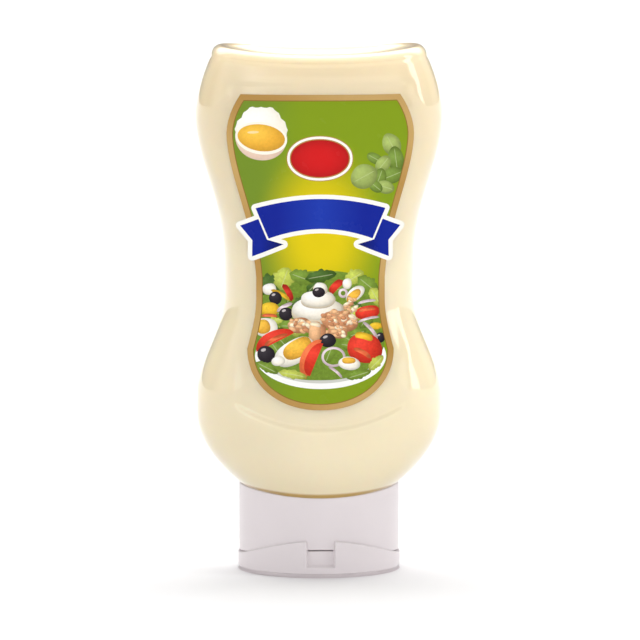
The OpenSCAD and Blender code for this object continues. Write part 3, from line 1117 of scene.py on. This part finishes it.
def food_patches(kind, name, x, z, half_width, half_height, degrees):
    """Printed fields of one piece of food."""
    base = linear(FOOD[name])
    seed = round(7 * x + 13 * z)
    paint = shaded(base, x, z, half_width, half_height, degrees)

    def placed(outline):
        return turned(outline, x, z, degrees)

    if kind == "strip":
        outline = ridge(half_width, half_height, bend=0.14 * half_width)
        return [Patch(placed(outline), paint, mottle=0.25)]
    if kind == "leaf":
        outline = leaf_outline(half_width, half_height, frill=0.12)
        rib = ridge(half_width * 0.8, 0.16)
        pale = mix_colour(base, LEAF_RIB, 0.35)
        return [
            Patch(placed(outline), paint, mottle=0.9),
            Patch(placed(rib), flat(pale), mottle=0.3),
        ]
    if kind == "ring":
        outer = oval(half_width, half_height)
        hole = oval(half_width - 0.9, half_height - 0.9)
        return [Patch(placed(band_between(outer, hole)), paint, mottle=0.2)]
    if kind == "slice":
        rim = [(u, v) for u, v in oval(half_width, half_height, 2.0, 32, 0.04, seed) if v >= -0.2]
        skin = shaded(base, x, z + half_height * 0.3, half_width, half_height, degrees, 0.25)
        return [Patch(placed(rim), skin, mottle=0.5)]
    if kind == "olive":
        outline = oval(half_width, half_height, 2.0, 24, 0.03, seed)
        inner = turned(oval(half_width * 0.6, half_height * 0.6, 2.0, 10), x, z, 0)
        glint = oval(half_width * 0.3, half_height * 0.18, 2.0, 10)
        glint = turned(glint, x - half_width * 0.3, z + half_height * 0.5, 20)
        return [Patch(placed(outline), paint, 0.3, inner), Patch(glint, flat(OLIVE_GLINT))]
    square = 3.4 if kind == "block" else 2.2
    outline = oval(half_width, half_height, square, 28, 0.05, seed)
    inner = oval(half_width * 0.62, half_height * 0.62, square, 14)
    mottle = SMOOTH_MOTTLE if name in SMOOTH_FOOD else ROUGH_MOTTLE
    return [Patch(placed(outline), paint, mottle, placed(inner))]


def lettuce_bed():
    """Frilly leaves all over the salad's place, from a fixed draw."""
    draw = random.Random(12)
    base = linear(FOOD["lettuce"])
    bed = turned(oval(*BED_SIZE, 2.6, 60, 0.02, 3), 0, BED_MIDDLE, 0)
    patches = [Patch(bed, flat(base), mottle=1.2)]
    for _ in range(BED_LEAVES):
        angle, reach = draw.uniform(0, math.tau), draw.uniform(0.35, 0.95)
        x = BED_REACH[0] * reach * math.cos(angle)
        z = BED_MIDDLE + BED_REACH[1] * reach * math.sin(angle)
        name = draw.choice(("lettuce", "lettuce", "lettuce_pale", "lettuce_dark"))
        size = draw.uniform(2.6, 4.6)
        patches += food_patches("leaf", name, x, z, size, size * 0.6, draw.uniform(0, 360))
    return patches


def tuna_flakes():
    """Many small flakes over the tuna's place, from a fixed draw."""
    draw = random.Random(5)
    patches = []
    for x, z, half_width, half_height, count in TUNA:
        for _ in range(count):
            angle, reach = draw.uniform(0, math.tau), math.sqrt(draw.uniform(0, 1))
            u, v = half_width * reach * math.cos(angle), half_height * reach * math.sin(angle)
            name = draw.choice(("tuna", "tuna_pale", "tuna", "tuna_dark"))
            long, wide = draw.uniform(0.9, 1.7), draw.uniform(0.5, 0.8)
            patches += food_patches("blob", name, x + u, z + v, long, wide, draw.uniform(-60, 60))
    return patches


def plate_patches():
    """A white plate, of which the lower rim shows under the salad."""
    white, shade = linear(FOOD["plate"]), linear(FOOD["plate_shade"])
    plate = turned(oval(24.4, 12, 2.0, 80), 0, 19.4, 0)
    rim = turned(oval(22.6, 10.4, 2.0, 80), 0, 19.9, 0)
    return [Patch(plate, flat(white)), Patch(rim, flat(shade))]


def egg_patches():
    """An egg broken open: a ragged half shell with its yolk."""
    x, z = EGG_PLACE
    names = ("shell", "egg", "yolk", "yolk_glint")
    shell, white, yolk, bright = (linear(FOOD[name]) for name in names)
    ragged = []
    for u, v in oval(9.4, 9.8, 2.1, 60):
        angle = math.atan2(v, u)
        jag = 1 + 0.035 * math.sin(7 * angle) + 0.025 * math.sin(17 * angle) if v > 0 else 1.0
        ragged.append((u * jag, v * jag))
    ragged = turned(ragged, x, z + 1.4, 0)
    cup = turned([(u, v) for u, v in oval(9.6, 8.8, 2.1, 60) if v < 1.6], x, z, -4)
    rim = turned(oval(9.6, 6, 2.0, 48), x, z - 0.6, -6)
    pool = turned(oval(8.8, 5, 2.0, 36), x, z - 0.4, -6)
    inner = turned(oval(5.5, 3.2, 2.0, 18), x, z - 0.4, 0)
    glint = turned(oval(2.2, 0.5, 2.0, 12), x - 3, z + 1.6, 4)
    return [
        Patch(ragged, shaded(white, x, z + 2, 9.6, 10, 0, 0.12), 0.15),
        Patch(cup, shaded(shell, x, z - 2, 9.6, 8.8, 0, 0.3), 0.2),
        Patch(rim, flat(white)),
        Patch(pool, shaded(yolk, x, z - 0.4, 8.8, 5, 0, 0.3), 0.3, inner),
        Patch(glint, flat(bright)),
    ]


def basil_patches():
    """Basil leaves beside the badge, each with its rib."""
    patches = []
    for name, x, z, reach, width, turn in BASIL:
        base = linear(FOOD[name])
        leaf = turned(oval(reach, width, 1.9, 32, 0.03, round(x)), x, z, turn)
        inner = turned(oval(reach * 0.6, width * 0.6), x, z, turn)
        rib = turned(ridge(reach * 0.85, 0.14), x, z, turn)
        patches.append(Patch(leaf, shaded(base, x, z, reach, width, turn), 0.5, inner))
        patches.append(Patch(rib, flat(mix_colour(base, BASIL_RIB, 0.4)), mottle=0.1))
    return patches


def badge_patches(palette):
    """A plain oval badge: a golden line, a pale rim and a red field, left bare."""
    x, z = BADGE_PLACE
    red = tuple(palette.badge)
    gold, paper = flat(tuple(palette.gold)), flat(tuple(palette.paper))
    rings = ((12.4, 8.5, gold), (12.1, 8.2, paper), (11.2, 7.3, gold))
    patches = [Patch(turned(oval(w, h, 2.1, 64), x, z, 0), paint) for w, h, paint in rings]
    field = turned(oval(10.8, 6.9, 2.1, 64), x, z, 0)
    inner = turned(oval(7.4, 4.6, 2.1, 32), x, z, 0)
    patches.append(Patch(field, glowing(red, x, z, 10.8, 6.9), 0.05, inner))
    return patches


def mirrored(half):
    """A closed outline from its right half, which runs from the top middle to the bottom."""
    return half + [(-x, z) for x, z in half[::-1] if x > 0]


# The ribbon's arched band: middle height, fall and reach of its upper and its lower edge.
RIBBON_BAND = (78.4, 3.8, 24.1)
RIBBON_UNDER = (67.2, 3.8, 19.3)
RIBBON_TAIL = ((23.1, 70.6), (29.8, 67.7), (25.3, 62.5), (25.4, 56.4), (13.8, 61.4), (19.9, 63.0))
RIBBON_EDGE = 1.6
# Where the band stops being bright and the tails are darkest, under its fold.
RIBBON_FOLD = 16


def arch(middle, fall, reach):
    """The right half of a shallow arch, from its middle out."""
    return [(reach * s, middle - fall * s * s) for s in steps(0, 1, 0.1)]


def ribbon_patches(palette):
    """A blue ribbon with two folded tails and a pale edge, its lettering left out."""
    blue, paper = tuple(palette.ribbon), tuple(palette.paper)
    bright, dark = linear(RIBBON_BRIGHT), tuple(c * 0.45 for c in blue)
    band = mirrored(arch(*RIBBON_BAND) + arch(*RIBBON_UNDER)[::-1])
    tails = [[(side * x, z) for x, z in RIBBON_TAIL] for side in (1, -1)]

    def band_paint(x, z):
        return mix_colour(blue, bright, 1 - abs(x) / RIBBON_FOLD)

    def tail_paint(x, z):
        return mix_colour(dark, blue, (abs(x) - RIBBON_FOLD) / 6)

    patches = [Patch(grown(tail, RIBBON_EDGE), flat(paper), spreads=True) for tail in tails]
    patches.append(Patch(grown(band, RIBBON_EDGE), flat(paper)))
    patches += [Patch(tail, tail_paint, mottle=0.05) for tail in tails]
    patches.append(Patch(band, band_paint, mottle=0.05))
    return patches


# An outer corner that turns by more than this is rounded, in so many parts. Every other one
# is mitred, and its mitre is no longer than the reach divided by the limit.
ROUND_FROM = math.radians(20)
ROUND_PARTS = 4
MITRE_LIMIT = 0.45


def grown(outline, reach):
    """A closed outline moved out by the reach, or in if it is negative, with round outer corners."""
    area = sum(a[0] * b[1] - b[0] * a[1] for a, b in zip(outline, outline[1:] + outline[:1]))
    side = math.copysign(1.0, area)
    result = []
    for before, here, after in zip(outline[-1:] + outline[:-1], outline, outline[1:] + outline[:1]):
        into = (Vector(here) - Vector(before)).normalized()
        out = (Vector(after) - Vector(here)).normalized()
        turn = into.angle_signed(out, 0.0) * -side
        first = Vector((into.y, -into.x)) * side
        if turn * reach > ROUND_FROM * abs(reach):
            turns = [side * turn * i / ROUND_PARTS for i in range(ROUND_PARTS + 1)]
            joins = [Matrix.Rotation(angle, 2) @ first * reach for angle in turns]
        else:
            middle = Matrix.Rotation(side * turn / 2, 2) @ first
            joins = [middle * reach / max(MITRE_LIMIT, math.cos(turn / 2))]
        result += [tuple(Vector(here) + join) for join in joins]
    return result


def divided(outline, pitch):
    """A closed outline with points added, so that no side is longer than the pitch."""
    result = []
    for here, after in zip(outline, outline[1:] + outline[:1]):
        count = max(1, math.ceil(math.dist(here, after) / pitch))
        result += [tuple(mix(a, b, i / count) for a, b in zip(here, after)) for i in range(count)]
    return result


def field_paint(palette):
    """Paint of the green field: darker on the left, with a yellow glow in its middle."""
    green, dark, glow = (tuple(c) for c in (palette.green, palette.green_dark, palette.glow))

    def paint(x, z):
        base = mix_colour(green, dark, rise(-x, 4, 26) * 0.8)
        reach = math.hypot(x / 25, (z - 66) / 36)
        return mix_colour(base, glow, 1 - rise(reach, 0.2, 1.05))

    return paint


# Spacing of the points along a label's sides.
SIDE_PITCH = 2.5 * MM


def label_outline(label, inside=0.0):
    """Closed outline of a label in millimetres, moved in by a border if asked."""
    low, top = label.low, label.top
    right = []
    for angle in range(0, 90, 5):
        z = label.round - label.form.round_height * math.cos(math.radians(angle))
        right.append((label.side(z), z))
    right += [(label.side(z), z) for z in steps(label.round, top, SIDE_PITCH)]
    outline = [(x / MM, (z - label.form.print_low) / MM) for x, z in right]
    outline[0] = (0.0, (low - label.form.print_low) / MM)
    outline += [(-x, z) for x, z in outline[:0:-1]]
    return grown(outline, -inside / MM) if inside else outline


# The film's points, in millimetres: their spacing along the outlines, and along and between
# the rows that fill it.
OUTLINE_PITCH = 1.2
ROW_PITCH = 1.4
# How far each second row is shifted, how far the rows go to each side, and how far they keep
# from the label's lowest and highest points.
ROW_SHIFT = 0.4
ROW_REACH = 36
ROW_MARGIN = 1
# Width of the dark line inside the golden border.
BORDER_LINE = 0.3 * MM


def film_triangles(edge, patches):
    """Points and triangles of a flat film cut along its printed fields, and each one's field.

    The last field that holds a triangle is the one it shows.
    """
    carriers = [edge] + [patch for patch in patches if patch.spreads]
    points, edges = [], []
    for patch in [edge] + patches:
        first = len(points)
        points += [Vector(p) for p in divided(patch.outline, OUTLINE_PITCH)]
        count = len(points) - first
        edges += [(first + i, first + (i + 1) % count) for i in range(count)]
    for patch in patches:
        points += [Vector(p) for p in patch.inner]
    for j, z in enumerate(steps(edge.low[1] + ROW_MARGIN, edge.high[1] - ROW_MARGIN, ROW_PITCH)):
        row = [x + ROW_SHIFT * (j % 2) for x in steps(-ROW_REACH, ROW_REACH, ROW_PITCH)]
        points += [Vector((x, z)) for x in row if any(p.holds(x, z) for p in carriers)]
    points, _, triangles, *_ = delaunay_2d_cdt(points, edges, [], 0, 1e-4, False)
    kept, owners = [], []
    for triangle in triangles:
        x, z = sum((points[i] for i in triangle), Vector((0.0, 0.0))) / 3
        if any(patch.holds(x, z) for patch in carriers):
            kept.append(triangle)
            owners.append(next((p for p in patches[::-1] if p.holds(x, z)), edge))
    used = sorted({i for triangle in kept for i in triangle})
    place = {old: new for new, old in enumerate(used)}
    kept = [tuple(place[i] for i in triangle) for triangle in kept]
    return [points[i] for i in used], kept, owners


def store_print(mesh, points, owners):
    """Keeps the colour and the mottle of the fields at each corner of the film's outside."""
    bare = (*linear(BARE_FILM), 0.0)
    values = []
    for polygon in mesh.polygons:
        if polygon.index < len(owners):
            owner = owners[polygon.index]
            for vertex in polygon.vertices:
                values += (*owner.paint(*points[vertex]), owner.mottle)
        else:
            values += bare * len(polygon.vertices)
    layer = mesh.color_attributes.new("print", "FLOAT_COLOR", "CORNER")
    layer.data.foreach_set("color", values)


def printed_film(name, label, patches, palette, material, side):
    """A thin closed film on the bottle with its print: the side is -1 in front and 1 behind."""
    edge = Patch(label_outline(label), field_paint(palette))
    flat_points, faces, owners = film_triangles(edge, patches)
    if side > 0:
        faces = [face[::-1] for face in faces]
    skin, form = label.skin, label.form

    def lifted(point, out):
        x, z = point.x * MM, form.print_low + point.y * MM
        return (x, side * (skin.front(x, z) + out), z)

    half = len(flat_points)
    points = [lifted(p, form.film) for p in flat_points]
    points += [lifted(p, -form.sunk) for p in flat_points]
    sides = {(face[i], face[(i + 1) % 3]) for face in faces for i in range(3)}
    rim = sorted((a, b) for a, b in sides if (b, a) not in sides)
    faces = faces + [tuple(i + half for i in face[::-1]) for face in faces]
    faces += [(b, a, a + half, b + half) for a, b in rim]
    film = build(name, points, faces, material, sharp=40)
    store_print(film.data, flat_points, owners)
    return film


def border_patches(label, palette):
    """The golden border, as a band between the label's edge and its field, and a dark line."""
    gold, dark, warm = tuple(palette.gold), tuple(palette.gold_dark), linear(BORDER_WARM)
    outer = label_outline(label)
    inner = label_outline(label, label.form.border)
    line = label_outline(label, label.form.border + BORDER_LINE)

    def paint(x, z):
        return mix_colour(gold, warm, 0.5 + 0.5 * math.sin(z / 9 + x / 14))

    band, thin = band_between(outer, inner), band_between(inner, line)
    return [Patch(thin, flat(dark)), Patch(band, paint, mottle=0.1)]


def make_front_label(scene):
    """The front label with its field, ribbon, badge, egg, basil and salad."""
    palette = scene.palette
    label = Skin(scene).label
    patches = egg_patches() + basil_patches() + plate_patches() + lettuce_bed()
    for row in SALAD_BACK:
        patches += food_patches(*row)
    patches += tuna_flakes()
    for row in SALAD_FRONT:
        patches += food_patches(*row)
    patches += badge_patches(palette) + border_patches(label, palette) + ribbon_patches(palette)
    material = print_material("Front label film")
    film = printed_film("front_label", label, patches, palette, material, -1)
    settle(film, "label", "label_front")


def make_back_label(scene):
    """The back label, with a plain pale panel where its small print would be."""
    palette = scene.palette
    label = Skin(scene).label
    width, height = PANEL_SIZE
    panel = turned(oval(width, height, 7, 60), 0, PANEL_MIDDLE, 0)
    line = turned(oval(width + PANEL_LINE, height + PANEL_LINE, 7, 60), 0, PANEL_MIDDLE, 0)
    patches = [Patch(line, flat(tuple(palette.gold)))]
    patches.append(Patch(panel, flat(tuple(palette.paper)), mottle=0.05))
    patches += border_patches(label, palette)
    material = print_material("Back label film")
    film = printed_film("back_label", label, patches, palette, material, 1)
    settle(film, "label", "label_back")


# ---------------------------------------------------------------- studio


# Soft lights of the studio: direction round and up from the front, width, height and soft
# edge in degrees, and strength.
SOFT_LIGHTS = (
    (70, 20, 12, 56, 4, 3.6),
    (-52, 8, 40, 30, 30, 0.95),
    (4, 4, 60, 18, 20, 1.0),
    (124, 20, 20, 56, 14, 0.3),
    (180, 60, 120, 40, 24, 2.2),
)
ROOM_LIGHT = 0.23
TOP_LIGHT = 0.5
# The light grows from the room's to the top's between these heights of a unit direction.
TOP_START = 0.5
TOP_FULL = 0.95


FLOOR_SIDES = 96
FLOOR_RADIUS = 14.0

# The camera: its lens and furthest sight, its distance, height and turn to the left of the
# front, and the point it looks at.
CAMERA_LENS = 408.4
CAMERA_FAR = 60.0
CAMERA_DISTANCE = 2.7
CAMERA_HEIGHT = 0.4445
CAMERA_TURN = 1.5
CAMERA_TARGET = (0.0004, 0.0, 0.0938)


def window(tree, angle, middle, width, soft):
    """1 inside a range of angles, given by its middle and width in degrees, with soft ends."""
    away = calculated(tree, "SUBTRACT", angle, math.radians(middle))
    away = calculated(tree, "ABSOLUTE", calculated(tree, "WRAP", away, -math.pi, math.pi))
    start, end = math.radians(width / 2), math.radians(width / 2 + soft)
    return ranged(tree, away, start, end, 1.0, 0.0, interpolation_type="SMOOTHSTEP")


def studio_world(scene):
    """White room with soft lights at its front and sides, and a bright ceiling behind."""
    world = bpy.data.worlds.new("Studio")
    world.use_nodes = True
    scene.world = world
    tree = world.node_tree
    way = node(tree, "ShaderNodeTexCoord").outputs["Generated"]
    axes = node(tree, "ShaderNodeSeparateXYZ", {0: way}).outputs
    back = calculated(tree, "MULTIPLY", axes["Y"], -1.0)
    around = calculated(tree, "ARCTAN2", axes["X"], back)
    up = calculated(tree, "ARCSINE", axes["Z"])
    limits = (TOP_START, TOP_FULL, ROOM_LIGHT, TOP_LIGHT)
    total = ranged(tree, axes["Z"], *limits, interpolation_type="SMOOTHSTEP")
    for middle, height, width, tall, soft, strength in SOFT_LIGHTS:
        across = window(tree, around, middle, width, soft)
        mask = calculated(tree, "MULTIPLY", across, window(tree, up, height, tall, soft))
        total = calculated(tree, "ADD", total, calculated(tree, "MULTIPLY", mask, strength))
    tree.links.new(total, tree.nodes["Background"].inputs["Strength"])
    tree.nodes["Background"].inputs["Color"].default_value = (1.0, 1.0, 1.0, 1.0)


def floor_material(palette):
    """Matte pale floor with a very faint unevenness."""
    material, tree, shader = start_material("Pale floor", Roughness=0.9, Specular_IOR_Level=0.1)
    tone = clouded(tree, rgba(palette.floor), amount=0.01, scale=3.0)
    tree.links.new(tone, shader.inputs["Base Color"])
    return material


def make_floor(scene):
    """A wide round floor under the lid's foot."""
    turns = [math.tau * k / FLOOR_SIDES for k in range(FLOOR_SIDES)]
    points = [(FLOOR_RADIUS * math.cos(a), FLOOR_RADIUS * math.sin(a), 0.0) for a in turns]
    points.append((0.0, 0.0, 0.0))
    faces = fan_faces(0, FLOOR_SIDES, FLOOR_SIDES)
    build("studio_floor", points, faces, floor_material(scene.palette))


def make_camera(scene):
    """A long lens, a little above the bottle and a little to its left."""
    data = bpy.data.cameras.new("camera")
    data.lens = CAMERA_LENS
    data.sensor_width = 36.0
    data.clip_end = CAMERA_FAR
    camera = bpy.data.objects.new("camera", data)
    scene.collection.objects.link(camera)
    turn = math.radians(CAMERA_TURN)
    across, along = -CAMERA_DISTANCE * math.sin(turn), -CAMERA_DISTANCE * math.cos(turn)
    camera.location = (across, along, CAMERA_HEIGHT)
    view = Vector(CAMERA_TARGET) - camera.location
    camera.rotation_euler = view.to_track_quat("-Z", "Y").to_euler()
    scene.camera = camera


# ---------------------------------------------------------------- operators and panel


class BOTTLE_OT_stage(bpy.types.Operator):
    """Adds the floor, the studio light and the camera"""

    bl_idname = "bottle.stage"
    bl_label = "Studio"
    bl_options = {"REGISTER", "UNDO"}

    def execute(self, context):
        make_camera(context.scene)
        make_floor(context.scene)
        studio_world(context.scene)
        return {"FINISHED"}


class BOTTLE_OT_shell(bpy.types.Operator):
    """Adds the clear plastic bottle"""

    bl_idname = "bottle.shell"
    bl_label = "Clear bottle"
    bl_options = {"REGISTER", "UNDO"}

    def execute(self, context):
        make_bottle(context.scene)
        return {"FINISHED"}


class BOTTLE_OT_mayonnaise(bpy.types.Operator):
    """Fills the bottle with mayonnaise"""

    bl_idname = "bottle.mayonnaise"
    bl_label = "Mayonnaise"
    bl_options = {"REGISTER", "UNDO"}

    def execute(self, context):
        make_mayonnaise(context.scene)
        return {"FINISHED"}


class BOTTLE_OT_cap(bpy.types.Operator):
    """Adds the flip cap: its skirt and its shut lid"""

    bl_idname = "bottle.cap"
    bl_label = "Flip cap"
    bl_options = {"REGISTER", "UNDO"}

    def execute(self, context):
        make_cap_skirt(context.scene)
        make_cap_lid(context.scene)
        return {"FINISHED"}


class BOTTLE_OT_front_label(bpy.types.Operator):
    """Adds the printed front label"""

    bl_idname = "bottle.front_label"
    bl_label = "Front label"
    bl_options = {"REGISTER", "UNDO"}

    def execute(self, context):
        make_front_label(context.scene)
        return {"FINISHED"}


class BOTTLE_OT_back_label(bpy.types.Operator):
    """Adds the plainer back label"""

    bl_idname = "bottle.back_label"
    bl_label = "Back label"
    bl_options = {"REGISTER", "UNDO"}

    def execute(self, context):
        make_back_label(context.scene)
        return {"FINISHED"}


OPERATORS = (
    BOTTLE_OT_stage,
    BOTTLE_OT_shell,
    BOTTLE_OT_mayonnaise,
    BOTTLE_OT_cap,
    BOTTLE_OT_front_label,
    BOTTLE_OT_back_label,
)


class BOTTLE_PT_pieces(bpy.types.Panel):
    """Lists the pieces and the stage in the sidebar"""

    bl_idname = "BOTTLE_PT_pieces"
    bl_label = "Squeeze bottle"
    bl_space_type = "VIEW_3D"
    bl_region_type = "UI"
    bl_category = "Bottle"

    def draw(self, context):
        for operator in OPERATORS:
            self.layout.operator(operator.bl_idname)
        for name, form in FORMS.items():
            box = self.layout.box()
            for key in form.__annotations__:
                box.prop(getattr(context.scene, name), key)


CLASSES = (*FORMS.values(), *OPERATORS, BOTTLE_PT_pieces)


def register():
    for item in CLASSES:
        bpy.utils.register_class(item)
    for name, form in FORMS.items():
        setattr(bpy.types.Scene, name, bpy.props.PointerProperty(type=form))


def unregister():
    for name in FORMS:
        delattr(bpy.types.Scene, name)
    for item in reversed(CLASSES):
        bpy.utils.unregister_class(item)


def main():
    """Makes the studio and every piece."""
    register()
    bpy.context.scene.view_settings.view_transform = "Standard"
    bpy.ops.bottle.stage()
    bpy.ops.bottle.shell()
    bpy.ops.bottle.mayonnaise()
    bpy.ops.bottle.cap()
    bpy.ops.bottle.front_label()
    bpy.ops.bottle.back_label()
    bpy.context.view_layer.update()


if __name__ == "__main__":
    main()
